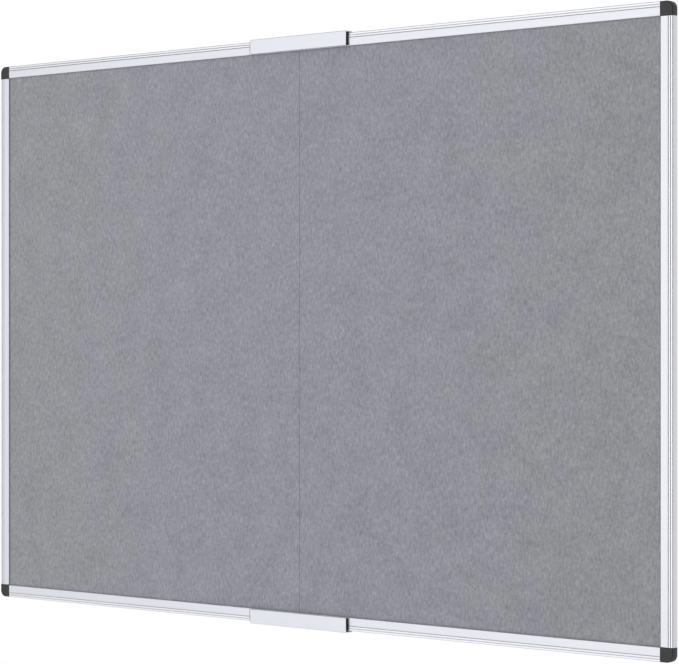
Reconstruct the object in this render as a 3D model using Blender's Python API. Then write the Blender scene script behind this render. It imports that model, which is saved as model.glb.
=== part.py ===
"""Grey felt notice board, 1.8 m by 1.2 m, made as two hinged halves that two sleeves join.

Lengths are metres. +X runs to the right as the board is read, +Y runs back to
the wall and +Z runs up. The origin is the centre of the board's back plane.
"""

import math

import bmesh
import bpy
from mathutils import Matrix, Vector

# Whole board
BOARD_WIDTH = 1.8000
BOARD_HEIGHT = 1.2000
FRAME_DEPTH = 0.0150
FACE_WIDTH = 0.0264

# Fits and cuts
FIT_GAP = 0.0003
SEAM_GAP = 0.0005
PIN_CLEARANCE = 0.0001
CUT_OVERRUN = 0.0010
MERGE_DISTANCE = 0.000001

# Frame section, an extrusion with a chamber along its outer side
FLANGE_THICKNESS = 0.0015
OUTER_WEB = 0.0015
CHAMBER_WIDTH = 0.0083
INNER_WEB = 0.0012
REAR_LIP_WIDTH = 0.0180
REAR_LIP_THICKNESS = 0.0012
LIP_WIDTH = 0.0020
LIP_DEPTH = 0.0024
LIP_RADIUS = 0.0009
EDGE_RADIUS = 0.0012
GROOVE_COUNT = 2
GROOVE_FIRST = 0.0050
GROOVE_PITCH = 0.0046
GROOVE_WIDTH = 0.0018
GROOVE_DEPTH = 0.0004
GROOVE_FLOOR_SHARE = 0.1

# Panel layers, front to back
FELT_THICKNESS = 0.0020
FELT_RISE = 0.0003
BACKING_THICKNESS = 0.0010
BATTEN_WIDTH = 0.0300

# Corner caps and the elbows inside them
CAP_SIZE = 0.0272
CAP_PROUD = 0.0002
CAP_RADIUS = 0.0140
CAP_EDGE_BEVEL = 0.0006
ELBOW_REACH = 0.0300
FIXING_HOLE_RADIUS = 0.0016
FIXING_HOLE_INSET = 0.0070

# Joint sleeves
SLEEVE_LENGTH = 0.2620
SLEEVE_WALL = 0.0016
SLEEVE_FRONT_PROUD = 0.0050
SLEEVE_OUTER_PROUD = 0.0040
SLEEVE_SHORTFALL = 0.0010
SLEEVE_BACK_WIDTH = 0.0160
SLEEVE_CORNER_RADIUS = 0.0010
SLEEVE_LIP_RADIUS = 0.0005
GLIDE_LENGTH = 0.0120
GLIDE_FLANGE = 0.0008

# Rivet that stops a sleeve over the seam
RIVET_SEAM_INSET = 0.0022
RIVET_HEAD_RADIUS = 0.0024
RIVET_HEAD_HEIGHT = 0.0012
RIVET_SHANK_RADIUS = 0.0012
RIVET_TAIL_RADIUS = 0.0019
RIVET_TAIL_LENGTH = 0.0018

# Butt hinges on the battens
HINGE_COUNT = 3
HINGE_SPACING_SHARE = 0.35
HINGE_HEIGHT = 0.0500
LEAF_WIDTH = 0.0200
LEAF_THICKNESS = 0.0010
BARREL_RADIUS = 0.0022
PIN_RADIUS = 0.0010
PIN_HEAD_RADIUS = 0.0019
PIN_HEAD_HEIGHT = 0.0008
KNUCKLE_COUNT = 5
SCREW_HEAD_RADIUS = 0.0024
SCREW_HEAD_HEIGHT = 0.0006
SCREW_SHANK_RADIUS = 0.0012
SCREW_LENGTH = 0.0080
SCREW_PLACE_SHARE = 0.62
SCREW_SPREAD_SHARE = 0.32

# Dome of a rivet's or a screw's head: share of its radius, share of its height
DOME_SHARES = ((0.0, 1.0), (0.55, 0.88), (0.88, 0.45), (1.0, 0.0))

# Facets
CORNER_STEPS = 8
EDGE_STEPS = 3
BARREL_STEPS = 24
HOLE_STEPS = 12
TURN_STEPS = 12
SMOOTH_ANGLE = math.radians(35)
FLAT_ANGLE = math.radians(1)

# Sizes worked out from the ones above
HALF_WIDTH = BOARD_WIDTH / 2
HALF_HEIGHT = BOARD_HEIGHT / 2
HALF_SEAM = SEAM_GAP / 2
CHAMBER_INNER = OUTER_WEB + CHAMBER_WIDTH
CHAMBER_BACK = FRAME_DEPTH - OUTER_WEB
BAND_WIDTH = CHAMBER_INNER + INNER_WEB
PANEL_INSET = BAND_WIDTH + FIT_GAP
FELT_FRONT = LIP_DEPTH + FIT_GAP
FELT_BACK = FELT_FRONT + FELT_THICKNESS
CORE_FRONT = FELT_BACK + FIT_GAP
BACKING_BACK = FRAME_DEPTH - REAR_LIP_THICKNESS - FIT_GAP
BACKING_FRONT = BACKING_BACK - BACKING_THICKNESS
CORE_BACK = BACKING_FRONT - FIT_GAP
CAP_CLEAR = CAP_SIZE + FIT_GAP
HINGE_AXIS_Y = FIT_GAP + BARREL_RADIUS
SLEEVE_END = SLEEVE_LENGTH / 2 - GLIDE_FLANGE - FIT_GAP
RIVET_X = -(RIVET_SEAM_INSET + RIVET_HEAD_RADIUS)
RIVET_INSET = OUTER_WEB + CHAMBER_WIDTH / 2

# Finishes: colour, roughness, metallic
FINISHES = {
    "anodised aluminium": ((0.80, 0.81, 0.85), 0.38, 1.0),
    "grey felt": ((0.29, 0.29, 0.31), 0.95, 0.0),
    "fibre board": ((0.45, 0.33, 0.20), 0.90, 0.0),
    "backing sheet": ((0.62, 0.62, 0.60), 0.60, 0.0),
    "pine": ((0.72, 0.54, 0.33), 0.75, 0.0),
    "black plastic": ((0.02, 0.02, 0.02), 0.45, 0.0),
    "zinc plated steel": ((0.62, 0.63, 0.64), 0.30, 1.0),
}

LEFT, RIGHT = -1, 1
TOP, BOTTOM = 1, -1
SIDE_NAMES = {LEFT: "left", RIGHT: "right"}
EDGE_NAMES = {TOP: "top", BOTTOM: "bottom"}
CORNER_NAMES = {TOP: "upper", BOTTOM: "lower"}


def clear_scene():
    """Remove whatever the scene held."""
    for obj in list(bpy.data.objects):
        bpy.data.objects.remove(obj, do_unlink=True)


def new_collection(name):
    """Add a collection to the scene."""
    collection = bpy.data.collections.new(name)
    bpy.context.scene.collection.children.link(collection)
    return collection


def new_object(name, mesh, matrix, collection):
    """Add a mesh object at a place."""
    obj = bpy.data.objects.new(name, mesh)
    obj.matrix_world = matrix
    collection.objects.link(obj)
    return obj


def new_joint(name, place, parent=None):
    """Add an empty that carries a moving body, on its joint's axis."""
    empty = bpy.data.objects.new(name, None)
    empty.empty_display_size = FACE_WIDTH
    empty.matrix_world = Matrix.Translation(place)
    BOARD.objects.link(empty)
    bpy.context.view_layer.update()
    if parent:
        hold(empty, parent)
    return empty


def hold(obj, parent):
    """Parent an object and keep it where it is."""
    obj.parent = parent
    obj.matrix_parent_inverse = parent.matrix_world.inverted()


def dress(obj, finish, parent):
    """Give a finished piece its material and the body that carries it."""
    colour, roughness, metallic = FINISHES[finish]
    material = bpy.data.materials.new(obj.name + " " + finish)
    material.use_nodes = True
    material.diffuse_color = (*colour, 1.0)
    shader = material.node_tree.nodes["Principled BSDF"]
    shader.inputs["Base Color"].default_value = (*colour, 1.0)
    shader.inputs["Roughness"].default_value = roughness
    shader.inputs["Metallic"].default_value = metallic
    obj.data.materials.append(material)
    hold(obj, parent)
    return obj


def as_cutter(obj):
    """Mark an object as one that only shapes other pieces."""
    obj.hide_render = True
    obj.display_type = "WIRE"
    return obj


def combine(obj, other, operation="DIFFERENCE"):
    """Cut an object by another one, or join them."""
    modifier = obj.modifiers.new(other.name, "BOOLEAN")
    modifier.operation = operation
    modifier.solver = "EXACT"
    modifier.object = as_cutter(other)


def weld(mesh):
    """Close a mesh at its loose caps and turn its faces outwards."""
    shape = bmesh.new()
    shape.from_mesh(mesh)
    bmesh.ops.remove_doubles(shape, verts=shape.verts, dist=MERGE_DISTANCE)
    bmesh.ops.dissolve_degenerate(shape, dist=MERGE_DISTANCE, edges=shape.edges)
    bmesh.ops.recalc_face_normals(shape, faces=shape.faces)
    shape.to_mesh(mesh)
    shape.free()


def shade_round(mesh):
    """Shade a mesh smooth, with sharp edges where its faces turn by more than a facet's angle."""
    mesh.shade_smooth()
    mesh.set_sharp_from_angle(angle=SMOOTH_ANGLE)


def round_front(mesh, forward, width):
    """Round the rim of a plate's front face, which faces forward, +1 or -1, along its own Z."""
    shape = bmesh.new()
    shape.from_mesh(mesh)
    bmesh.ops.dissolve_limit(
        shape, angle_limit=FLAT_ANGLE, verts=shape.verts, edges=shape.edges)
    front = max(vert.co.z * forward for vert in shape.verts)
    rim = []
    for edge in shape.edges:
        if all(vert.co.z * forward > front - MERGE_DISTANCE for vert in edge.verts):
            rim.append(edge)
    bmesh.ops.bevel(
        shape, geom=rim, offset=width, segments=2, profile=0.5, affect="EDGES", material=-1)
    shape.to_mesh(mesh)
    shape.free()


def arc(centre, radius, start, end, steps):
    """Points on an arc, from a start angle to an end angle in degrees."""
    points = []
    for step in range(steps + 1):
        angle = math.radians(start + (end - start) * step / steps)
        points.append((centre[0] + radius * math.cos(angle), centre[1] + radius * math.sin(angle)))
    return points


def ring(centre, radius, steps):
    """Points round a full circle."""
    return arc(centre, radius, 0, 360, steps)[:-1]


def extruded(name, outlines, length, matrix, collection):
    """A flat outline given a thickness, centred on its plane. Inner outlines are holes."""
    curve = bpy.data.curves.new(name, "CURVE")
    curve.dimensions = "2D"
    curve.fill_mode = "BOTH"
    curve.extrude = length / 2
    for outline in outlines:
        spline = curve.splines.new("POLY")
        spline.points.add(len(outline) - 1)
        for point, (across, along) in zip(spline.points, outline):
            point.co = (across, along, 0, 1)
        spline.use_cyclic_u = True
    flat = bpy.data.objects.new(name, curve)
    CUTTERS.objects.link(flat)
    bpy.context.view_layer.update()
    graph = bpy.context.evaluated_depsgraph_get()
    mesh = bpy.data.meshes.new_from_object(flat.evaluated_get(graph))
    bpy.data.objects.remove(flat, do_unlink=True)
    bpy.data.curves.remove(curve)
    weld(mesh)
    shade_round(mesh)
    return new_object(name, mesh, matrix, collection)


def box(name, low, high, collection):
    """A box between two corners."""
    size = [high[axis] - low[axis] for axis in range(3)]
    centre = [(high[axis] + low[axis]) / 2 for axis in range(3)]
    shape = bmesh.new()
    bmesh.ops.create_cube(shape, size=1)
    bmesh.ops.scale(shape, vec=size, verts=shape.verts)
    mesh = bpy.data.meshes.new(name)
    shape.to_mesh(mesh)
    shape.free()
    return new_object(name, mesh, Matrix.Translation(centre), collection)


def sided_box(name, side, near, far, front, back, low, high, collection):
    """A box on one side of the seam, by its distances from the seam and from the front."""
    ends = sorted((side * near, side * far))
    corner_low = (ends[0], front - FRAME_DEPTH, low)
    corner_high = (ends[1], back - FRAME_DEPTH, high)
    return box(name, corner_low, corner_high, collection)


def hole_cutter(name, places, radius, depth_low, depth_high):
    """Round cutters along Y, at (x, z) places, between two depths."""
    shape = bmesh.new()
    turn = Matrix.Rotation(math.radians(90), 4, "X")
    for x, z in places:
        middle = Matrix.Translation((x, (depth_low + depth_high) / 2, z))
        bmesh.ops.create_cone(
            shape, cap_ends=True, segments=HOLE_STEPS, radius1=radius, radius2=radius,
            depth=depth_high - depth_low, matrix=middle @ turn)
    mesh = bpy.data.meshes.new(name)
    shape.to_mesh(mesh)
    shape.free()
    return new_object(name, mesh, Matrix(), CUTTERS)


def turned(name, profile, matrix, steps=TURN_STEPS):
    """A turned piece from (radius, height) points, listed from its top to its bottom."""
    shape = bmesh.new()
    points = [shape.verts.new((radius, 0, height)) for radius, height in profile]
    edges = [shape.edges.new(ends) for ends in zip(points, points[1:])]
    bmesh.ops.spin(
        shape, geom=points + edges, cent=(0, 0, 0), axis=(0, 0, 1), angle=math.tau,
        steps=steps, use_merge=True)
    mesh = bpy.data.meshes.new(name)
    shape.to_mesh(mesh)
    shape.free()
    weld(mesh)
    shade_round(mesh)
    return new_object(name, mesh, matrix, BOARD)


def section_matrix(origin, inward):
    """Stand a section at a place: its X runs inward, its Y to the back, its Z along the run."""
    inward = Vector(inward)
    back = Vector((0, 1, 0))
    turn = Matrix((inward, back, inward.cross(back))).transposed()
    return Matrix.Translation(origin) @ turn.to_4x4()


def corner_matrix(side, edge, depth):
    """Lay an outline in the board's plane: X and Y run inward from one of its corners."""
    across = Vector((-side, 0, 0))
    along = Vector((0, 0, -edge))
    turn = Matrix((across, along, across.cross(along))).transposed()
    place = (side * HALF_WIDTH, depth - FRAME_DEPTH, edge * HALF_HEIGHT)
    return Matrix.Translation(place) @ turn.to_4x4()


def facing_back(x, z):
    """Turn a piece made along +Z so that its top faces the wall, at a place on the back plane."""
    turn = Matrix.Rotation(math.radians(-90), 4, "X")
    return Matrix.Translation((x, 0, z)) @ turn


def groove_points():
    """The fine grooves along the outer part of the frame's face."""
    points = []
    for count in range(GROOVE_COUNT):
        middle = GROOVE_FIRST + count * GROOVE_PITCH
        half = GROOVE_WIDTH / 2
        floor = half * GROOVE_FLOOR_SHARE
        points.append((middle - half, 0))
        points.append((middle - floor, GROOVE_DEPTH))
        points.append((middle + floor, GROOVE_DEPTH))
        points.append((middle + half, 0))
    return points


def frame_section():
    """Outline and chamber of the frame, as distance in from its edge and depth from its face."""
    rear = FRAME_DEPTH - REAR_LIP_THICKNESS
    edge = arc((EDGE_RADIUS, EDGE_RADIUS), EDGE_RADIUS, 180, 270, EDGE_STEPS)
    lip = arc((FACE_WIDTH - LIP_RADIUS, LIP_RADIUS), LIP_RADIUS, 270, 360, EDGE_STEPS)
    outline = edge + groove_points() + lip + [
        (FACE_WIDTH, LIP_DEPTH),
        (FACE_WIDTH - LIP_WIDTH, LIP_DEPTH),
        (FACE_WIDTH - LIP_WIDTH, FLANGE_THICKNESS),
        (BAND_WIDTH, FLANGE_THICKNESS),
        (BAND_WIDTH, rear),
        (REAR_LIP_WIDTH, rear),
        (REAR_LIP_WIDTH, FRAME_DEPTH),
        (0, FRAME_DEPTH),
    ]
    chamber = [
        (OUTER_WEB, FLANGE_THICKNESS),
        (CHAMBER_INNER, FLANGE_THICKNESS),
        (CHAMBER_INNER, CHAMBER_BACK),
        (OUTER_WEB, CHAMBER_BACK),
    ]
    return [outline, chamber]


def add_rail(side, edge, body):
    """Top or bottom rail of one half, from the seam to the corner cap."""
    name = f"{SIDE_NAMES[side]}_{EDGE_NAMES[edge]}_rail"
    far = HALF_WIDTH - CAP_CLEAR
    middle = (side * (HALF_SEAM + far) / 2, -FRAME_DEPTH, edge * HALF_HEIGHT)
    place = section_matrix(middle, (0, 0, -edge))
    rail = extruded(name, frame_section(), far - HALF_SEAM, place, BOARD)
    if side == LEFT:
        hole_place = (RIVET_X, edge * (HALF_HEIGHT - RIVET_INSET))
        hole = hole_cutter(
            name + "_rivet_hole", [hole_place], RIVET_SHANK_RADIUS + FIT_GAP,
            -OUTER_WEB - CUT_OVERRUN, CUT_OVERRUN)
        combine(rail, hole)
    dress(rail, "anodised aluminium", body)


def add_stile(side, body):
    """Outer upright of one half, between its two corner caps."""
    place = section_matrix((side * HALF_WIDTH, -FRAME_DEPTH, 0), (-side, 0, 0))
    length = BOARD_HEIGHT - 2 * CAP_CLEAR
    stile = extruded(SIDE_NAMES[side] + "_stile", frame_section(), length, place, BOARD)
    dress(stile, "anodised aluminium", body)


def add_felt(side, body):
    """Felt of one half, nipped under the frame's lip and a little fuller inside it."""
    name = SIDE_NAMES[side] + "_felt"
    far = HALF_WIDTH - PANEL_INSET
    top = HALF_HEIGHT - PANEL_INSET
    felt = sided_box(name, side, HALF_SEAM, far, FELT_FRONT, FELT_BACK, -top, top, BOARD)
    full_far = HALF_WIDTH - CAP_CLEAR
    full_top = HALF_HEIGHT - CAP_CLEAR
    middle = (FELT_FRONT + FELT_BACK) / 2
    full = sided_box(
        name + "_full", side, HALF_SEAM, full_far, FELT_FRONT - FELT_RISE, middle,
        -full_top, full_top, CUTTERS)
    combine(felt, full, "UNION")
    dress(felt, "grey felt", body)


def add_panel(side, body):
    """Core board and backing sheet of one half, held in the frame's pocket."""
    name = SIDE_NAMES[side]
    far = HALF_WIDTH - PANEL_INSET
    top = HALF_HEIGHT - PANEL_INSET
    core_near = HALF_SEAM + BATTEN_WIDTH + FIT_GAP
    core = sided_box(
        name + "_core_board", side, core_near, far, CORE_FRONT, CORE_BACK, -top, top, BOARD)
    sheet = sided_box(
        name + "_backing_sheet", side, core_near, far, BACKING_FRONT, BACKING_BACK, -top, top, BOARD)
    dress(core, "fibre board", body)
    dress(sheet, "backing sheet", body)


def hinge_heights():
    """Heights of the hinges' middles."""
    spacing = BOARD_HEIGHT * HINGE_SPACING_SHARE
    return [(count - (HINGE_COUNT - 1) / 2) * spacing for count in range(HINGE_COUNT)]


def screw_places(side, height):
    """Places of one leaf's two screws."""
    x = side * LEAF_WIDTH * SCREW_PLACE_SHARE
    spread = HINGE_HEIGHT * SCREW_SPREAD_SHARE
    return [(x, height - spread), (x, height + spread)]


def add_batten(side, body):
    """Pine batten along the seam, which takes the hinge screws and is rebated under the rails."""
    name = SIDE_NAMES[side] + "_seam_batten"
    top = HALF_HEIGHT - PANEL_INSET
    shoulder = HALF_HEIGHT - REAR_LIP_WIDTH - FIT_GAP
    batten = sided_box(
        name, side, HALF_SEAM, HALF_SEAM + BATTEN_WIDTH, CORE_FRONT, FRAME_DEPTH, -top, top, BOARD)
    for edge in (TOP, BOTTOM):
        ends = sorted((edge * shoulder, edge * (top + CUT_OVERRUN)))
        rebate = sided_box(
            f"{name}_{EDGE_NAMES[edge]}_rebate", side, HALF_SEAM - CUT_OVERRUN,
            HALF_SEAM + BATTEN_WIDTH + CUT_OVERRUN, BACKING_BACK, FRAME_DEPTH + CUT_OVERRUN,
            *ends, CUTTERS)
        combine(batten, rebate)
    places = [place for height in hinge_heights() for place in screw_places(side, height)]
    holes = hole_cutter(
        name + "_holes", places, SCREW_SHANK_RADIUS + FIT_GAP,
        CORE_FRONT - FRAME_DEPTH - CUT_OVERRUN, CUT_OVERRUN)
    combine(batten, holes)
    dress(batten, "pine", body)


def elbow_outline(near, far, end):
    """An L round the board's corner, between two distances in from its edges."""
    turn = CAP_RADIUS - CAP_PROUD
    outer = arc((turn, turn), turn - near, 180, 270, CORNER_STEPS)
    return outer + [(end, near), (end, far), (far, far), (far, end), (near, end)]


def add_corner_block(side, edge, body):
    """Moulded elbow: two legs push into the frame's chambers, and its pad faces the wall."""
    name = f"{SIDE_NAMES[side]}_{CORNER_NAMES[edge]}_corner_block"
    near = OUTER_WEB + FIT_GAP
    front = FLANGE_THICKNESS + FIT_GAP
    back = CHAMBER_BACK - FIT_GAP
    legs = elbow_outline(near, CHAMBER_INNER - FIT_GAP, CAP_SIZE + ELBOW_REACH)
    place = corner_matrix(side, edge, (front + back) / 2)
    block = extruded(name, [legs], back - front, place, BOARD)
    pad_front = back - FIT_GAP
    pad_place = corner_matrix(side, edge, (pad_front + FRAME_DEPTH) / 2)
    pad_outline = elbow_outline(near, BAND_WIDTH, CAP_SIZE)
    pad = extruded(name + "_pad", [pad_outline], FRAME_DEPTH - pad_front, pad_place, CUTTERS)
    combine(block, pad, "UNION")
    hole_x = side * (HALF_WIDTH - FIXING_HOLE_INSET)
    hole_z = edge * (HALF_HEIGHT - FIXING_HOLE_INSET)
    hole = hole_cutter(
        name + "_hole", [(hole_x, hole_z)], FIXING_HOLE_RADIUS, -FRAME_DEPTH, CUT_OVERRUN)
    combine(block, hole)
    dress(block, "black plastic", body)


def cap_outline(near, end):
    """A square with the board's rounded corner, between two distances in from its edges."""
    turn = CAP_RADIUS - CAP_PROUD
    return arc((turn, turn), turn - near, 180, 270, CORNER_STEPS) + [(end, near), (end, end), (near, end)]


def add_corner_cap(side, edge, body):
    """Push-fit cap: a face and two outer walls that meet in a round corner."""
    name = f"{SIDE_NAMES[side]}_{CORNER_NAMES[edge]}_corner_cap"
    place = corner_matrix(side, edge, (FRAME_DEPTH - CAP_PROUD) / 2)
    outer = cap_outline(-CAP_PROUD, CAP_SIZE)
    cap = extruded(name, [outer], FRAME_DEPTH + CAP_PROUD, place, BOARD)
    round_front(cap.data, side * edge, CAP_EDGE_BEVEL)
    inner = cap_outline(OUTER_WEB, CAP_SIZE + CUT_OVERRUN)
    depth = FRAME_DEPTH + CUT_OVERRUN - FLANGE_THICKNESS
    hollow_place = corner_matrix(side, edge, FLANGE_THICKNESS + depth / 2)
    hollow = extruded(name + "_hollow", [inner], depth, hollow_place, CUTTERS)
    combine(cap, hollow)
    foot_near = HALF_WIDTH - CAP_SIZE
    foot_ends = sorted((edge * (HALF_HEIGHT - CAP_SIZE), edge * (HALF_HEIGHT - FACE_WIDTH + LIP_WIDTH)))
    foot = sided_box(
        name + "_foot", side, foot_near, HALF_WIDTH - FACE_WIDTH + LIP_WIDTH,
        FLANGE_THICKNESS - CAP_EDGE_BEVEL, LIP_DEPTH, *foot_ends, CUTTERS)
    combine(cap, foot, "UNION")
    dress(cap, "black plastic", body)


def sleeve_section():
    """Channel that wraps a rail, in the rail's own distances: face, outer web and back flange."""
    low = FACE_WIDTH - SLEEVE_SHORTFALL
    outer = -SLEEVE_OUTER_PROUD
    front = -SLEEVE_FRONT_PROUD
    back = FRAME_DEPTH + FIT_GAP + SLEEVE_WALL
    turn = SLEEVE_CORNER_RADIUS
    lip = SLEEVE_LIP_RADIUS
    outline = [(low, front + SLEEVE_WALL)]
    outline += arc((low - lip, front + lip), lip, 0, -90, EDGE_STEPS)
    outline += arc((outer + turn, front + turn), turn, 270, 180, EDGE_STEPS)
    outline += arc((outer + turn, back - turn), turn, 180, 90, EDGE_STEPS)
    outline += [
        (SLEEVE_BACK_WIDTH, back),
        (SLEEVE_BACK_WIDTH, back - SLEEVE_WALL),
        (outer + SLEEVE_WALL, back - SLEEVE_WALL),
        (outer + SLEEVE_WALL, front + SLEEVE_WALL),
    ]
    return [outline]


def add_sleeve(edge, body):
    """Joint sleeve over the seam. Its back flange holds the left rail and leaves the right one free."""
    name = EDGE_NAMES[edge] + "_joint_sleeve"
    place = section_matrix((0, -FRAME_DEPTH, edge * HALF_HEIGHT), (0, 0, -edge))
    sleeve = extruded(name, sleeve_section(), 2 * SLEEVE_END, place, BOARD)
    flange_end = RIVET_X - RIVET_HEAD_RADIUS - FIT_GAP
    reach = SLEEVE_OUTER_PROUD + CUT_OVERRUN
    ends = sorted((edge * (HALF_HEIGHT + reach), edge * (HALF_HEIGHT - SLEEVE_BACK_WIDTH - CUT_OVERRUN)))
    release = box(
        name + "_release", (flange_end, 0, ends[0]),
        (SLEEVE_END + CUT_OVERRUN, FIT_GAP + SLEEVE_WALL + CUT_OVERRUN, ends[1]), CUTTERS)
    combine(sleeve, release)
    dress(sleeve, "anodised aluminium", body)


def add_glide(edge, side, body):
    """Black insert in a sleeve's end: it runs on the rail, and its flange closes the sleeve's face."""
    name = f"{EDGE_NAMES[edge]}_sleeve_{SIDE_NAMES[side]}_glide"
    low = FACE_WIDTH - SLEEVE_SHORTFALL
    front = -SLEEVE_FRONT_PROUD + SLEEVE_WALL + FIT_GAP
    outer = -SLEEVE_OUTER_PROUD + SLEEVE_WALL + FIT_GAP
    outline = [
        (outer, front),
        (low, front),
        (low, -FIT_GAP),
        (-FIT_GAP, -FIT_GAP),
        (-FIT_GAP, FRAME_DEPTH - FIT_GAP),
        (outer, FRAME_DEPTH - FIT_GAP),
    ]
    end = SLEEVE_LENGTH / 2
    start = SLEEVE_END - GLIDE_LENGTH
    middle = (side * (start + end) / 2, -FRAME_DEPTH, edge * HALF_HEIGHT)
    glide = extruded(name, [outline], end - start, section_matrix(middle, (0, 0, -edge)), BOARD)
    heights = sorted((edge * HALF_HEIGHT, edge * (HALF_HEIGHT - low)))
    flange = sided_box(
        name + "_flange", side, end - GLIDE_FLANGE, end, -SLEEVE_FRONT_PROUD, -FIT_GAP,
        *heights, CUTTERS)
    combine(glide, flange, "UNION")
    dress(glide, "black plastic", body)


def dome(radius, base, height):
    """Top of a round head, as (radius, height) points from its crown to its rim."""
    return [(radius * out, base + height * up) for out, up in DOME_SHARES]


def add_rivet(edge, body):
    """Blind rivet through a left rail's rear lip, which stops the sleeve over the seam."""
    name = EDGE_NAMES[edge] + "_sleeve_stop_rivet"
    tail = -OUTER_WEB - FIT_GAP
    profile = dome(RIVET_HEAD_RADIUS, FIT_GAP, RIVET_HEAD_HEIGHT) + [
        (RIVET_SHANK_RADIUS, FIT_GAP),
        (RIVET_SHANK_RADIUS, tail),
        (RIVET_TAIL_RADIUS, tail),
        (RIVET_TAIL_RADIUS, tail - RIVET_TAIL_LENGTH),
        (0, tail - RIVET_TAIL_LENGTH),
    ]
    place = facing_back(RIVET_X, edge * (HALF_HEIGHT - RIVET_INSET))
    dress(turned(name, profile, place), "zinc plated steel", body)


def leaf_section():
    """Leaf and barrel of a hinge, as distance from the pin's line and height off the back plane."""
    top = FIT_GAP + LEAF_THICKNESS
    meet = math.degrees(math.asin((top - HINGE_AXIS_Y) / BARREL_RADIUS))
    barrel = arc((0, HINGE_AXIS_Y), BARREL_RADIUS, 270, meet, BARREL_STEPS)
    outline = [(LEAF_WIDTH, FIT_GAP)] + barrel + [(LEAF_WIDTH, top)]
    return [outline, ring((0, HINGE_AXIS_Y), PIN_RADIUS + PIN_CLEARANCE, BARREL_STEPS)]


def add_leaf(name, side, height, body):
    """One leaf of a butt hinge: the left one keeps the odd knuckles, the right one the even."""
    turn = Matrix(((side, 0, 0), (0, 1, 0), (0, 0, side))).to_4x4()
    place = Matrix.Translation((0, 0, height)) @ turn
    leaf = extruded(name, leaf_section(), HINGE_HEIGHT, place, BOARD)
    pitch = HINGE_HEIGHT / KNUCKLE_COUNT
    room = BARREL_RADIUS + FIT_GAP
    ends = sorted((-side * (BARREL_RADIUS + CUT_OVERRUN), side * room))
    first_gone = 1 if side == LEFT else 0
    for count in range(first_gone, KNUCKLE_COUNT, 2):
        low = height - HINGE_HEIGHT / 2 + count * pitch - FIT_GAP / 2
        high = low + pitch + FIT_GAP
        notch = box(
            f"{name}_notch_{count}", (ends[0], FIT_GAP - CUT_OVERRUN, low),
            (ends[1], HINGE_AXIS_Y + BARREL_RADIUS + CUT_OVERRUN, high), CUTTERS)
        combine(leaf, notch)
    holes = hole_cutter(
        name + "_holes", screw_places(side, height), SCREW_SHANK_RADIUS + FIT_GAP,
        FIT_GAP - CUT_OVERRUN, FIT_GAP + LEAF_THICKNESS + CUT_OVERRUN)
    combine(leaf, holes)
    dress(leaf, "zinc plated steel", body)


def add_pin(name, height, body):
    """Hinge pin with a flat head on top, held in the left leaf's knuckles."""
    half = HINGE_HEIGHT / 2
    profile = [
        (0, half + FIT_GAP + PIN_HEAD_HEIGHT),
        (PIN_HEAD_RADIUS, half + FIT_GAP + PIN_HEAD_HEIGHT),
        (PIN_HEAD_RADIUS, half + FIT_GAP),
        (PIN_RADIUS, half + FIT_GAP),
        (PIN_RADIUS, -half),
        (0, -half),
    ]
    place = Matrix.Translation((0, HINGE_AXIS_Y, height))
    dress(turned(name, profile, place, BARREL_STEPS), "zinc plated steel", body)


def add_screw(name, place, body):
    """Pan-head screw through a hinge leaf into the batten."""
    seat = FIT_GAP + LEAF_THICKNESS + FIT_GAP
    profile = dome(SCREW_HEAD_RADIUS, seat, SCREW_HEAD_HEIGHT) + [
        (SCREW_SHANK_RADIUS, seat),
        (SCREW_SHANK_RADIUS, seat + SCREW_SHANK_RADIUS - SCREW_LENGTH),
        (0, seat - SCREW_LENGTH),
    ]
    dress(turned(name, profile, facing_back(*place)), "zinc plated steel", body)


def add_hinge(name, height, bodies):
    """A butt hinge across the seam: two leaves, a pin and four screws."""
    for side in (LEFT, RIGHT):
        label = f"{name}_{SIDE_NAMES[side]}"
        add_leaf(label + "_leaf", side, height, bodies[side])
        for count, place in enumerate(screw_places(side, height), start=1):
            add_screw(f"{label}_screw_{count}", place, bodies[side])
    add_pin(name + "_pin", height, bodies[LEFT])


def add_half(side, body):
    """Felt, panel, batten, frame and corners of one half of the board."""
    add_felt(side, body)
    add_panel(side, body)
    add_batten(side, body)
    add_stile(side, body)
    for edge in (TOP, BOTTOM):
        add_rail(side, edge, body)
        add_corner_block(side, edge, body)
        add_corner_cap(side, edge, body)


def add_joint_sleeve(edge, parent):
    """A sliding sleeve with its two glides, and the rivet on the rail that stops it."""
    place = (0, -FRAME_DEPTH / 2, edge * HALF_HEIGHT)
    body = new_joint(EDGE_NAMES[edge] + "_sleeve_slide", place, parent)
    add_sleeve(edge, body)
    for side in (LEFT, RIGHT):
        add_glide(edge, side, body)
    add_rivet(edge, parent)


def build():
    """Build the whole board."""
    bodies = {LEFT: new_joint("board_back_centre", (0, 0, 0))}
    bodies[RIGHT] = new_joint("fold_axis", (0, HINGE_AXIS_Y, 0), bodies[LEFT])
    for side, body in bodies.items():
        add_half(side, body)
    for edge in (TOP, BOTTOM):
        add_joint_sleeve(edge, bodies[LEFT])
    for count, height in enumerate(hinge_heights(), start=1):
        add_hinge(f"hinge_{count}", height, bodies)


clear_scene()
BOARD = new_collection("felt_notice_board")
CUTTERS = new_collection("cutters")
build()
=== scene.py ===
"""Dresses the folding felt notice board and lights it as in a plain studio.

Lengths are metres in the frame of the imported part: +X to the right as the board is read,
+Y back to the wall and +Z up. The board's back plane is at y = 0.
"""

import functools
import logging
import math
from dataclasses import dataclass
from enum import Enum

import bmesh
import bpy
from mathutils import Matrix, Vector, noise


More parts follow.
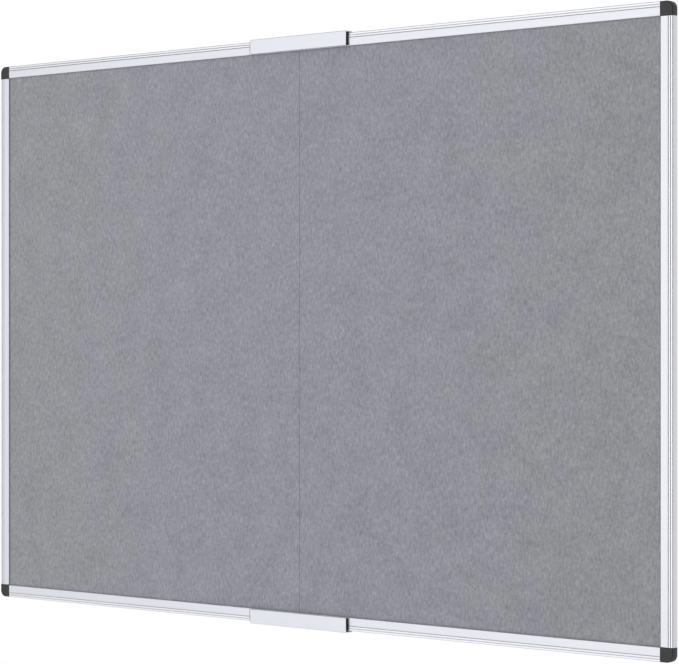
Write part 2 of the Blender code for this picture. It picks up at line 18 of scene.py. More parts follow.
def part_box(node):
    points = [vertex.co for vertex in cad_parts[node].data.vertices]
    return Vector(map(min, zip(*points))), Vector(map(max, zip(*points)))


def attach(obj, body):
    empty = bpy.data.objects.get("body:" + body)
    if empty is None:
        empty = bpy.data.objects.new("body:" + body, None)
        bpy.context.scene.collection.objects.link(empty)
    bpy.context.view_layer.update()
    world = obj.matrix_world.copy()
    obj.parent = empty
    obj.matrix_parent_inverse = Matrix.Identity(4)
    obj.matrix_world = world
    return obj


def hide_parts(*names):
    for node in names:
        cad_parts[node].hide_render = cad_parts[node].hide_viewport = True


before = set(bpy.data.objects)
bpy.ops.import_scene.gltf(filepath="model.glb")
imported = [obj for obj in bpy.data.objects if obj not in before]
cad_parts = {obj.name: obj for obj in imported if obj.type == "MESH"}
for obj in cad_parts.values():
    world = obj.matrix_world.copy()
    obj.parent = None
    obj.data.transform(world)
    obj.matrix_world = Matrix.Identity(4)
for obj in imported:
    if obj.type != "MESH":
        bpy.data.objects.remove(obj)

MM = 0.001

# Edges that turn by less than this are shaded smooth.
SMOOTH_ANGLE = math.radians(35)

# How close counts as the same place, how close vertices are merged, and the least share of a
# face's normal along the axis that it looks along.
NEAR = 0.1 * MM
MERGE_DISTANCE = 0.01 * MM
FACING = 0.9

# Value that noise wanders around.
NOISE_MIDDLE = 0.5

# Numbers of the hinges, and of the screws in each leaf, in node names.
HINGES = (1, 2, 3)
LEAF_SCREWS = (1, 2)

# Half of the frame's height and width, how far in from its outer edge the middles of its two
# grooves and of the ridges beside them run, and half the widths of these. Shade is painted in
# the grooves and a highlight on the ridges over these widths.
HALF_HEIGHT = 600 * MM
HALF_WIDTH = 900 * MM
GROOVE_INSETS = (5.0 * MM, 9.6 * MM)
GROOVE_SHADE_REACH = 0.7 * MM
RIDGE_INSETS = (2.65 * MM, 7.3 * MM)
RIDGE_HIGHLIGHT_REACH = 1.4 * MM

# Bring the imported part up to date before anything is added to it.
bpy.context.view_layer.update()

log = logging.getLogger("notice_board")

Socket = bpy.types.NodeSocket
Tree = bpy.types.NodeTree
Pair = tuple[float, float]
Point = tuple[float, float, float]
Colour = tuple[float, float, float, float]


class Side(Enum):
    """Half of the board, with the sign of its X."""

    LEFT = -1
    RIGHT = 1

    @property
    def label(self) -> str:
        """Name of the half in node names."""
        return self.name.lower()

    @property
    def body(self) -> str:
        """Name of the half's body."""
        return f"{self.label}_half"


class Edge(Enum):
    """Edge of the board, with the sign of its Z."""

    TOP = 1
    BOTTOM = -1

    @property
    def label(self) -> str:
        """Name of the edge in node names."""
        return self.name.lower()

    @property
    def corner(self) -> str:
        """Name of the corners on this edge in node names."""
        return "upper" if self is Edge.TOP else "lower"


class Grain(Enum):
    """Axis that an extrusion's die lines or a plank's growth rings run along."""

    ALONG_X = 0
    ALONG_Z = 2

    def sizes(self, length: float, width: float) -> Point:
        """Size of one streak on each axis.

        Args:
            length: Length of a streak.
            width: Width of a streak.

        Returns:
            The streak's size along X, Y and Z.
        """
        made = [width, width, width]
        made[self.value] = length
        return tuple(made)


def linear(code: str) -> Colour:
    """Turn an sRGB hex colour into a linear one.

    Args:
        code: The colour, such as "#9394A0".

    Returns:
        Linear red, green, blue and an alpha of 1.
    """
    made = []
    for start in (1, 3, 5):
        share = int(code[start:start + 2], 16) / 255
        made.append(share / 12.92 if share <= 0.04045 else ((share + 0.055) / 1.055) ** 2.4)
    return (*made, 1.0)


def add_node(
    tree: Tree, kind: str, feeds: dict[str | int, object], **settings: object
) -> bpy.types.Node:
    """Add a node with its settings and links.

    Args:
        tree: The node tree that takes it.
        kind: Blender's name for the type of node.
        feeds: What each input gets, by name or by place: a socket, or a value of its own.
        settings: The node's own properties.

    Returns:
        The node.
    """
    made = tree.nodes.new(kind)
    for name, value in settings.items():
        setattr(made, name, value)
    for name, value in feeds.items():
        if isinstance(value, Socket):
            tree.links.new(value, made.inputs[name])
        else:
            made.inputs[name].default_value = value
    return made


def mix_colours(tree: Tree, share: Socket, low: Socket | Colour, high: Socket | Colour) -> Socket:
    """Mix two colours.

    Args:
        tree: The node tree that takes the mix.
        share: The share of the second colour.
        low: The first colour.
        high: The second colour.

    Returns:
        The socket that carries the mixed colour.
    """
    return add_node(
        tree, "ShaderNodeMix", {0: share, 6: low, 7: high}, data_type="RGBA").outputs[2]


@dataclass(frozen=True)
class Layer:
    """One scale of a surface's pattern: streaks or patches of noise.

    Attributes:
        size: Size of one streak or patch along X, Y and Z.
        weight: How far it moves the pattern from its middle.
        turn: Angle in degrees that it is turned by, about the Y axis.
        detail: Octaves of finer noise in it.
    """

    size: Point
    weight: float
    turn: float = 0.0
    detail: float = 1.0


@dataclass(frozen=True)
class Finish:
    """A surface whose colour and gloss wander between two values with a pattern of layers.

    Attributes:
        name: The material's name.
        dark: Colour at the pattern's low end.
        light: Colour at the pattern's high end.
        smooth: Roughness at the pattern's low end.
        rough: Roughness at the pattern's high end.
        layers: The pattern's layers.
        relief: Height of the pattern's bump.
        metallic: 1 for a metal and 0 for anything else.
        specular: Specular level of a surface that isn't metal.
        sheen: Weight of the soft glow of upright fibres.
    """

    name: str
    dark: str
    light: str
    smooth: float
    rough: float
    layers: tuple[Layer, ...]
    relief: float
    metallic: float = 0.0
    specular: float = 0.5
    sheen: float = 0.0

    def pattern(self, tree: Tree) -> Socket:
        """Sum the layers into one pattern around 0.5.

        Args:
            tree: The material's node tree.

        Returns:
            The socket that carries the pattern.
        """
        place = add_node(tree, "ShaderNodeTexCoord", {}).outputs["Object"]
        total: Socket | float = NOISE_MIDDLE - sum(layer.weight for layer in self.layers) / 2
        for layer in self.layers:
            turn = (0, math.radians(layer.turn), 0)
            mapped = add_node(
                tree, "ShaderNodeMapping",
                {"Vector": place, "Rotation": turn, "Scale": layer.size}, vector_type="TEXTURE")
            cloud = add_node(
                tree, "ShaderNodeTexNoise",
                {"Vector": mapped.outputs[0], "Scale": 1.0, "Detail": layer.detail})
            total = add_node(
                tree, "ShaderNodeMath", {0: cloud.outputs[0], 1: layer.weight, 2: total},
                operation="MULTIPLY_ADD").outputs[0]
        return total

    def tint(self, tree: Tree, pattern: Socket) -> Socket:
        """Colour the pattern.

        Args:
            tree: The material's node tree.
            pattern: The socket that carries the pattern.

        Returns:
            The socket that carries the colour.
        """
        return mix_colours(tree, pattern, linear(self.dark), linear(self.light))

    @functools.cache
    def material(self) -> bpy.types.Material:
        """Build the finish's material, once.

        Returns:
            The material.
        """
        made = bpy.data.materials.new(self.name)
        made.use_nodes = True
        tree = made.node_tree
        shader = tree.nodes["Principled BSDF"]
        pattern = self.pattern(tree)
        gloss = add_node(
            tree, "ShaderNodeMapRange",
            {"Value": pattern, "To Min": self.smooth, "To Max": self.rough})
        bump = add_node(
            tree, "ShaderNodeBump", {"Height": pattern, "Strength": 1.0, "Distance": self.relief})
        tree.links.new(self.tint(tree, pattern), shader.inputs["Base Color"])
        tree.links.new(gloss.outputs[0], shader.inputs["Roughness"])
        tree.links.new(bump.outputs[0], shader.inputs["Normal"])
        shader.inputs["Metallic"].default_value = self.metallic
        shader.inputs["Specular IOR Level"].default_value = self.specular
        shader.inputs["Sheen Weight"].default_value = self.sheen
        return made


@dataclass(frozen=True)
class BlendedFinish(Finish):
    """A finish of two shades: one in the board's middle, and another towards its sides.

    Attributes:
        side_dark: Colour at the pattern's low end towards the sides.
        side_light: Colour at the pattern's high end there.
        border: Distance from the seam at which the shades meet.
        blend: How far to each side of the border they mix.
        patch: Size of the soft patches that the border runs in.
    """

    side_dark: str = ""
    side_light: str = ""
    border: float = 0.0
    blend: float = 50 * MM
    patch: float = 90 * MM

    def tint(self, tree: Tree, pattern: Socket) -> Socket:
        """Colour the pattern with the shade of its place.

        Args:
            tree: The material's node tree.
            pattern: The socket that carries the pattern.

        Returns:
            The socket that carries the colour.
        """
        middle = super().tint(tree, pattern)
        sides = mix_colours(tree, pattern, linear(self.side_dark), linear(self.side_light))
        place = add_node(tree, "ShaderNodeTexCoord", {}).outputs["Object"]
        across = add_node(tree, "ShaderNodeSeparateXYZ", {0: place}).outputs["X"]
        aside = add_node(tree, "ShaderNodeMath", {0: across}, operation="ABSOLUTE").outputs[0]
        cloud = add_node(
            tree, "ShaderNodeTexNoise", {"Vector": place, "Scale": 1 / self.patch, "Detail": 2.0})
        ragged = add_node(tree, "ShaderNodeMath", {0: cloud.outputs[0], 1: aside}, operation="ADD")
        meet = self.border + NOISE_MIDDLE
        share = add_node(
            tree, "ShaderNodeMapRange",
            {"Value": ragged.outputs[0],
             "From Min": meet - self.blend, "From Max": meet + self.blend})
        return mix_colours(tree, share.outputs[0], middle, sides)


@dataclass(frozen=True)
class Band:
    """A groove or ridge along an extrusion's face, with a painted shade or painted highlight of its
    own.

    Attributes:
        middle: Distance of its middle from the board's middle.
        reach: Half of its width.
        shade: Its colour: a darker painted shade, or a lighter painted highlight.
    """

    middle: float
    reach: float
    shade: str


@dataclass(frozen=True)
class BandedFinish(Finish):
    """The finish of an extrusion whose front has bands of painted shade and painted highlight along
    it.

    Attributes:
        grain: The way the extrusion runs.
        bands: The bands.
        front: Place along Y in front of which the extrusion's face lies.
    """

    grain: Grain = Grain.ALONG_X
    bands: tuple[Band, ...] = ()
    front: float = -14.0 * MM

    def tint(self, tree: Tree, pattern: Socket) -> Socket:
        """Colour the pattern, and paint the bands of the front with their painted shade or painted
        highlight.

        Args:
            tree: The material's node tree.
            pattern: The socket that carries the pattern.

        Returns:
            The socket that carries the colour.
        """
        shade = super().tint(tree, pattern)
        place = add_node(tree, "ShaderNodeTexCoord", {}).outputs["Object"]
        axes = add_node(tree, "ShaderNodeSeparateXYZ", {0: place}).outputs
        across = axes["X" if self.grain is Grain.ALONG_Z else "Z"]
        aside = add_node(tree, "ShaderNodeMath", {0: across}, operation="ABSOLUTE").outputs[0]
        in_front = add_node(
            tree, "ShaderNodeMath", {0: axes["Y"], 1: self.front}, operation="LESS_THAN").outputs[0]
        for band in self.bands:
            near = add_node(
                tree, "ShaderNodeMath", {0: aside, 1: band.middle, 2: band.reach},
                operation="COMPARE").outputs[0]
            inside = add_node(tree, "ShaderNodeMath", {0: near, 1: in_front}, operation="MULTIPLY")
            # Each band's colour is painted shade or a painted highlight, on the front only.
            shade = mix_colours(tree, inside.outputs[0], shade, linear(band.shade))
        return shade


def anodised_aluminium(grain: Grain) -> Finish:
    """Satin anodised aluminium extrusion: pale, softly mirroring, with faint die lines along it.

    Args:
        grain: The way the extrusion runs.

    Returns:
        The finish.
    """
    return Finish(
        name=f"anodised aluminium {grain.name.lower()}",
        dark="#E2E4EC", light="#F1F2F9", smooth=0.35, rough=0.43, metallic=1.0, relief=0.004 * MM,
        layers=(
            Layer(grain.sizes(600 * MM, 0.5 * MM), 0.5),
            Layer(grain.sizes(900 * MM, 3.0 * MM), 0.5),
            Layer(grain.sizes(160 * MM, 60 * MM), 0.3),
        ))


def frame_aluminium(grain: Grain) -> Finish:
    """Anodised aluminium of the frame, with its grooves and ridges.

    The grooves are painted darker, as shade that falls in them. On the rails it shows in the inner
    one alone.
    The ridges beside the grooves are painted brighter, as a highlight.

    Args:
        grain: The way the extrusion runs.

    Returns:
        The finish.
    """
    # Painted shade in the grooves: darker on the stiles, and on the rails lighter and in the inner
    # groove alone.
    if grain is Grain.ALONG_Z:
        outer, shaded_insets, groove_painted_shade = HALF_WIDTH, GROOVE_INSETS, "#A9AAB3"
    else:
        outer, shaded_insets, groove_painted_shade = HALF_HEIGHT, GROOVE_INSETS[1:], "#D2D3DA"
    bands = [Band(outer - inset, GROOVE_SHADE_REACH, groove_painted_shade) for inset in shaded_insets]
    # Painted highlight, near white, on the ridges of the stiles and the rails.
    bands += [Band(outer - inset, RIDGE_HIGHLIGHT_REACH, "#F8F9FF") for inset in RIDGE_INSETS]
    plain = anodised_aluminium(grain)
    return BandedFinish(
        name=f"grooved {plain.name}", dark=plain.dark, light=plain.light, smooth=plain.smooth,
        rough=plain.rough, metallic=plain.metallic, relief=plain.relief, layers=plain.layers,
        grain=grain, bands=tuple(bands))


# Needle-punched polyester felt: quite matt, a bluish grey that is more neutral towards the sides.
# Its tufts and fibres stand mostly upright and read as short soft flecks. Real fibres are
# 0.03 mm thick, so their tufts are drawn 3 to 5 mm wide to show in the render.
NEEDLE_FELT = BlendedFinish(
    name="needle-punched felt",
    dark="#797984", light="#B2B2BD", smooth=0.90, rough=1.0, relief=0.35 * MM, specular=0.2,
    sheen=0.1, side_dark="#797A7F", side_light="#B2B3B8", border=530 * MM,
    layers=(
        Layer((14 * MM, 14 * MM, 4.5 * MM), 0.6, turn=84),
        Layer((12 * MM, 12 * MM, 4.5 * MM), 0.5, turn=101),
        Layer((9 * MM, 9 * MM, 3.0 * MM), 0.3, turn=30),
        Layer((9 * MM, 9 * MM, 3.0 * MM), 0.3, turn=150),
        Layer((6 * MM, 6 * MM, 6 * MM), 0.4, detail=2.0),
        Layer((60 * MM, 60 * MM, 60 * MM), 0.25),
    ))

# Injection-moulded ABS with a fine spark-eroded texture, which greys its soft highlights.
MOULDED_ABS = Finish(
    name="moulded black ABS",
    dark="#232325", light="#363638", smooth=0.36, rough=0.50, relief=0.02 * MM,
    layers=(
        Layer((0.5 * MM, 0.5 * MM, 0.5 * MM), 0.9, detail=2.0),
        Layer((14 * MM, 14 * MM, 14 * MM), 0.4),
    ))

# Zinc-plated steel, bright but a little cloudy from its clear passivation.
ZINC_PLATED_STEEL = Finish(
    name="zinc plated steel",
    dark="#B9BDC4", light="#DADCDD", smooth=0.22, rough=0.42, metallic=1.0, relief=0.006 * MM,
    layers=(
        Layer((0.6 * MM, 0.6 * MM, 0.6 * MM), 0.4, detail=2.0),
        Layer((5 * MM, 5 * MM, 5 * MM), 0.8, detail=2.0),
    ))

# Planed pine: straw coloured, with darker late wood in lines 4 to 6 mm apart along it.
PLANED_PINE = Finish(
    name="planed pine",
    dark="#B68C58", light="#E9D0A6", smooth=0.55, rough=0.75, relief=0.05 * MM, specular=0.3,
    layers=(
        Layer(Grain.ALONG_Z.sizes(420 * MM, 4.5 * MM), 1.1, detail=2.0),
        Layer(Grain.ALONG_Z.sizes(60 * MM, 0.5 * MM), 0.4),
        Layer((90 * MM, 90 * MM, 220 * MM), 0.5),
    ))

# Pressed wood fibre board: brown and quite matt, with flecks of bark and shive.
PRESSED_FIBRE_BOARD = Finish(
    name="pressed fibre board",
    dark="#5F4528", light="#A88560", smooth=0.85, rough=0.98, relief=0.10 * MM, specular=0.2,
    layers=(
        Layer((1.2 * MM, 1.2 * MM, 1.2 * MM), 0.8, detail=3.0),
        Layer((7 * MM, 7 * MM, 2.5 * MM), 0.5, turn=35),
        Layer((40 * MM, 40 * MM, 40 * MM), 0.4),
    ))

# Calendered polystyrene backing sheet: pale grey, half matt, with a faint pebbled grain.
CALENDERED_BACKING = Finish(
    name="calendered polystyrene sheet",
    dark="#B4B7B8", light="#CFD1D0", smooth=0.50, rough=0.66, relief=0.04 * MM, specular=0.4,
    layers=(
        Layer((1.6 * MM, 1.6 * MM, 1.6 * MM), 0.7, detail=2.0),
        Layer((9 * MM, 9 * MM, 700 * MM), 0.4),
        Layer((180 * MM, 180 * MM, 180 * MM), 0.5),
    ))


def new_piece(name: str, shape: bmesh.types.BMesh) -> bpy.types.Object:
    """Turn a bmesh into a smooth-shaded object at the origin.

    Args:
        name: The piece's name.
        shape: Its mesh, with its place in it. It is freed.

    Returns:
        The object.
    """
    mesh = bpy.data.meshes.new(name)
    shape.to_mesh(mesh)
    shape.free()
    mesh.shade_smooth()
    mesh.set_sharp_from_angle(angle=SMOOTH_ANGLE)
    piece = bpy.data.objects.new(name, mesh)
    bpy.context.scene.collection.objects.link(piece)
    return piece


def dress(
    piece: bpy.types.Object, finish: Finish, slot: str, body: str, *nodes: str
) -> bpy.types.Object:
    """Finish a new piece and hand it to its body in place of some nodes.

    Args:
        piece: The piece.
        finish: What it is made of.
        slot: The record's material slot; not used.
        body: The body that carries it.
        nodes: The nodes that it stands for.

    Returns:
        The piece.
    """
    piece.data.materials.append(finish.material())
    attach(piece, body)
    if nodes:
        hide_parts(*nodes)
    log.info("%s: %d faces on %s", piece.name, len(piece.data.polygons), body)
    return piece


def repaint(name: str, finish: Finish) -> None:
    """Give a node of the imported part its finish.

    Args:
        name: The node's name.
        finish: What it is made of.
    """
    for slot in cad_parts[name].material_slots:
        slot.material = finish.material()
    log.info("%s: %s", name, finish.name)


@dataclass
class FeltPanel:
    """Needle felt of one half, nipped under the frame's lip and rounded at the seam.

    Attributes:
        side: The half.
        cover: Width of the felt's rim that the frame's face covers.
        nip: How far the lip presses the felt in.
        slope: Width over which it swells back.
        seam_radius: Radius of its cut edge at the seam.
        seam_steps: Faces across that rounding.
        pitch: Spacing of its mesh.
        loft: Height and size of its soft lumps, broad and fine.
    """

    side: Side
    cover: float = 15.1 * MM
    nip: float = 0.9 * MM
    slope: float = 4.0 * MM
    seam_radius: float = 0.85 * MM
    seam_steps: int = 4
    pitch: float = 4.0 * MM
    loft: tuple[Pair, ...] = ((0.10 * MM, 55 * MM), (0.06 * MM, 13 * MM))

    def rim_lines(self) -> list[float]:
        """Mesh lines of a rim under the frame, as distances from the felt's edge."""
        shares = (0.05, 0.2, 0.4, 0.7, 1.0)
        return [0.0, self.cover / 2, self.cover] + [self.cover + self.slope * s for s in shares]

    def seam_lines(self) -> list[float]:
        """Mesh lines of the rounded edge, as distances from the seam's side."""
        angles = [math.pi / 2 * step / self.seam_steps for step in range(self.seam_steps + 1)]
        return [self.seam_radius * (1 - math.cos(angle)) for angle in angles]

    def spaced(self, start: list[float], end: list[float], length: float) -> list[float]:
        """Fill the room between two sets of mesh lines with even ones.

        Args:
            start: Lines at the low end, from the low edge.
            end: Lines at the high end, from the high edge.
            length: Distance between the two edges.

        Returns:
            All the lines, from the low edge.
        """
        low, high = start[-1], length - end[-1]
        count = round((high - low) / self.pitch)
        middle = [low + (high - low) * step / count for step in range(1, count)]
        return start + middle + [length - line for line in reversed(end)]

    def depth(self, from_seam: float, from_rim: float, place: Vector) -> float:
        """How far the felt's surface lies behind its fullest plane.

        Args:
            from_seam: Distance from the seam's side.
            from_rim: Distance from the nearest of the three sides in the frame.
            place: The point, for the lumps.

        Returns:
            The depth.
        """
        share = min(max((from_rim - self.cover) / self.slope, 0.0), 1.0)
        swell = share * share * (3 - 2 * share)
        short = max(self.seam_radius - from_seam, 0.0)
        rounding = self.seam_radius - math.sqrt(self.seam_radius ** 2 - short ** 2)
        lumps = sum(height * noise.noise(place / size) for height, size in self.loft)
        return self.nip * (1 - swell) + rounding - lumps * swell

    def build(self) -> bpy.types.Object:
        """Build the felt in place of its plain solid.

        Returns:
            The felt.
        """
        node = f"{self.side.label}_felt"
        low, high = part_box(node)
        width, height = high.x - low.x, high.z - low.z
        across = self.spaced(self.seam_lines(), self.rim_lines(), width)
        along = self.spaced(self.rim_lines(), self.rim_lines(), height)
        seam = low.x if self.side is Side.RIGHT else high.x
        shape = bmesh.new()
        bmesh.ops.create_grid(
            shape, x_segments=len(across) - 1, y_segments=len(along) - 1, size=0.5)
        # The grid is 1 wide about the origin, so a vertex's place gives the number of its lines.
        for vert in shape.verts:
            right = across[round((vert.co.x + 0.5) * (len(across) - 1))]
            up = along[round((vert.co.y + 0.5) * (len(along) - 1))]
            place = Vector((seam + self.side.value * right, 0, low.z + up))
            rim = min(width - right, up, height - up)
            place.y = low.y + self.depth(right, rim, place)
            vert.co = place
        rim_edges = [edge for edge in shape.edges if edge.is_boundary]
        sides = bmesh.ops.extrude_edge_only(shape, edges=rim_edges)["geom"]
        for vert in (item for item in sides if isinstance(item, bmesh.types.BMVert)):
            vert.co.y = high.y
        open_edges = [edge for edge in shape.edges if edge.is_boundary]
        bmesh.ops.holes_fill(shape, edges=open_edges, sides=0)
        bmesh.ops.recalc_face_normals(shape, faces=shape.faces)
        felt = new_piece(f"{self.side.label}_needle_felt", shape)
        dress(felt, NEEDLE_FELT, "grey_felt", self.side.body, node)
        return felt


@dataclass
class CornerCap:
    """Moulded cap over one corner: a face with a soft edge, and walls round the outer corner.

    Attributes:
        side: The half that it is on.
        edge: The edge that it is on.
        wall: Thickness of its face and walls.
        corner_radius: Radius of its round corner.
        corner_steps: Faces round that corner.
        soft_edge: Radius round its face.
        soft_steps: Faces across that radius.
        foot: Width and depth of the foot that meets the felt.
    """

    side: Side
    edge: Edge
    wall: float = 2.0 * MM
    corner_radius: float = 14.0 * MM
    corner_steps: int = 14
    soft_edge: float = 1.4 * MM
    soft_steps: int = 4
    foot: Pair = (2.8 * MM, 0.9 * MM)

    def build(self) -> bpy.types.Object:
        """Build the cap in place of its plain solid.

        Returns:
            The cap.
        """
        node = f"{self.side.label}_{self.edge.corner}_corner_cap"
        low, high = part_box(node)
        size = high - low
        shape = bmesh.new()
        bmesh.ops.create_cube(shape, size=1)
        bmesh.ops.translate(shape, vec=(0.5, 0.5, 0.5), verts=shape.verts)
        bmesh.ops.scale(shape, vec=size, verts=shape.verts)
        self.round_corner(shape)
        self.hollow(shape, size)
        self.add_foot(shape, size)
        self.soften(shape)
        corner = (
            high.x if self.side is Side.RIGHT else low.x, low.y,
            high.z if self.edge is Edge.TOP else low.z)
        bmesh.ops.scale(shape, vec=(-self.side.value, 1, -self.edge.value), verts=shape.verts)
        bmesh.ops.translate(shape, vec=corner, verts=shape.verts)
        bmesh.ops.recalc_face_normals(shape, faces=shape.faces)
        cap = new_piece(f"{self.side.label}_{self.edge.corner}_moulded_cap", shape)
        return dress(cap, MOULDED_ABS, "black_plastic", self.side.body, node)

    def round_corner(self, shape: bmesh.types.BMesh) -> None:
        """Round the block's outer corner, which stands at its X and Z of zero.

        Args:
            shape: The block.
        """
        upright = [
            edge for edge in shape.edges
            if all(vert.co.x < NEAR and vert.co.z < NEAR for vert in edge.verts)]
        bmesh.ops.bevel(
            shape, geom=upright, offset=self.corner_radius, segments=self.corner_steps,
            profile=0.5, affect="EDGES", material=-1)

    def hollow(self, shape: bmesh.types.BMesh, size: Vector) -> None:
        """Leave the face and the outer walls, and give them their thickness.

        Args:
            shape: The block.
            size: Its size.
        """
        inner = [
            face for face in shape.faces
            if any(reach > edge - NEAR for reach, edge in zip(face.calc_center_median(), size))]
        bmesh.ops.delete(shape, geom=inner, context="FACES")
        bmesh.ops.recalc_face_normals(shape, faces=shape.faces)
        bmesh.ops.solidify(shape, geom=list(shape.faces), thickness=self.wall)

    def add_foot(self, shape: bmesh.types.BMesh, size: Vector) -> None:
        """Draw the foot down from the face's inner corner, to where the felt begins.

        Args:
            shape: The hollow cap.
            size: Its size.
        """
        width, depth = self.foot
        for normal in ((1, 0, 0), (0, 0, 1)):
            place = (size.x - width, 0, size.z - width)
            bmesh.ops.bisect_plane(
                shape, geom=[*shape.verts, *shape.edges, *shape.faces], plane_co=place,
                plane_no=normal)
        under = [
            face for face in shape.faces
            if face.calc_center_median().x > size.x - width
            and face.calc_center_median().z > size.z - width
            and abs(face.calc_center_median().y - self.wall) < NEAR
            and abs(face.normal.y) > FACING]
        moved = bmesh.ops.extrude_face_region(shape, geom=under)["geom"]
        verts = [item for item in moved if isinstance(item, bmesh.types.BMVert)]
        bmesh.ops.translate(shape, vec=(0, depth, 0), verts=verts)
        bmesh.ops.delete(shape, geom=under, context="FACES_KEEP_BOUNDARY")

    def soften(self, shape: bmesh.types.BMesh) -> None:
        """Round the rim of the cap's face.

        Args:
            shape: The cap.
        """
        rim = [
            edge for edge in shape.edges
            if len(edge.link_faces) == 2 and all(vert.co.y < NEAR for vert in edge.verts)
            and edge.calc_face_angle() > SMOOTH_ANGLE]
        bmesh.ops.bevel(
            shape, geom=rim, offset=self.soft_edge, segments=self.soft_steps, profile=0.5,
            affect="EDGES", material=-1)


def face_back(shape: bmesh.types.BMesh, low: Vector, high: Vector) -> None:
    """Turn a fastener's head to the back and set it into a node's box.

    Args:
        shape: The fastener, with its axis on Z and the top of its head at the origin.
        low: Lowest corner of the node's box.
        high: Its highest corner.
    """
    turn = Matrix.Rotation(math.radians(-90), 3, "X")
    bmesh.ops.rotate(shape, cent=(0, 0, 0), matrix=turn, verts=shape.verts)
    middle = (low + high) / 2
    bmesh.ops.translate(shape, vec=(middle.x, high.y, middle.z), verts=shape.verts)
    bmesh.ops.recalc_face_normals(shape, faces=shape.faces)


@dataclass
class HingeScrew:
    """Pan-head screw of a hinge, with a cross recess in its domed head.

    Attributes:
        side: The half that it is in.
        hinge: Number of its hinge.
        place: Its number in the leaf.
        dome: Height that the head's top falls by to its rim.
        head_wall: Height of the head's rim.
        recess: Half width, half length and depth of the cross recess.
        taper: Share of its size that the recess keeps at its floor.
        scores: Distances from the axis of more mesh lines, which give the dome its round.
        shank_radius: Radius of its shank.
        point: Length of its point.
        steps: Faces round it.
    """

    side: Side
    hinge: int
    place: int
    dome: float = 0.42 * MM
    head_wall: float = 0.18 * MM
    recess: Point = (0.30 * MM, 1.25 * MM, 0.40 * MM)
    taper: float = 0.75
    scores: Pair = (0.75 * MM, 1.80 * MM)
    shank_radius: float = 1.2 * MM
    point: float = 1.2 * MM
    steps: int = 32

    def build(self) -> bpy.types.Object:
        """Build the screw in place of its plain solid.

        Returns:
            The screw.
        """
        leaf = f"hinge_{self.hinge}_{self.side.label}"
        node = f"{leaf}_screw_{self.place}"
        low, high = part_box(node)
        radius = (high.x - low.x) / 2
        shape = bmesh.new()
        bmesh.ops.create_circle(shape, cap_ends=True, segments=self.steps, radius=radius)
        self.raise_dome(shape, radius)
        self.sink_recess(shape)
        self.add_shank(shape, radius, high.y - low.y)
        face_back(shape, low, high)
        screw = new_piece(f"{leaf}_pan_head_screw_{self.place}", shape)
        return dress(screw, ZINC_PLATED_STEEL, "zinc_plated_steel", self.side.body, node)

    def raise_dome(self, shape: bmesh.types.BMesh, radius: float) -> None:
        """Score the disc with mesh lines and let it fall towards its rim.

        Args:
            shape: The disc.
            radius: Its radius.
        """
        for normal in (Vector((1, 0, 0)), Vector((0, 1, 0))):
            for score in sorted((*self.recess[:2], *self.scores)):
                for way in (-1, 1):
                    bmesh.ops.bisect_plane(
                        shape, geom=[*shape.verts, *shape.edges, *shape.faces],
                        plane_co=normal * score * way, plane_no=normal)
        for vert in shape.verts:
            vert.co.z = -self.dome * (vert.co.xy.length / radius) ** 2

    def sink_recess(self, shape: bmesh.types.BMesh) -> None:
        """Sink the cross recess into the head.

        Args:
            shape: The domed head.
        """
        half_width, half_length, depth = self.recess
        cross = []
        for face in shape.faces:
            across, along = sorted(abs(share) for share in face.calc_center_median().xy)
            if across < half_width and along < half_length:
                cross.append(face)
        moved = bmesh.ops.extrude_face_region(shape, geom=cross)["geom"]
        verts = [item for item in moved if isinstance(item, bmesh.types.BMVert)]
        bmesh.ops.delete(shape, geom=cross, context="FACES_KEEP_BOUNDARY")
        bmesh.ops.scale(shape, vec=(self.taper, self.taper, 1), verts=verts)
        bmesh.ops.translate(shape, vec=(0, 0, -depth), verts=verts)

    def add_shank(self, shape: bmesh.types.BMesh, radius: float, length: float) -> None:
        """Draw the head's rim, its underside, the shank and the point down from the dome.

        Args:
            shape: The head.
            radius: Its radius.
            length: Length of the whole screw.
        """
        under = -self.dome - self.head_wall
        end = -length + self.point
        rings = (
            (radius, under), (self.shank_radius, under), (self.shank_radius, end), (0, -length))
        for ring_radius, height in rings:
            rim = [edge for edge in shape.edges if edge.is_boundary]
            moved = bmesh.ops.extrude_edge_only(shape, edges=rim)["geom"]
            for vert in (item for item in moved if isinstance(item, bmesh.types.BMVert)):
                vert.co.xy = vert.co.xy.normalized() * ring_radius
                vert.co.z = height
        bmesh.ops.remove_doubles(shape, verts=shape.verts, dist=MERGE_DISTANCE)


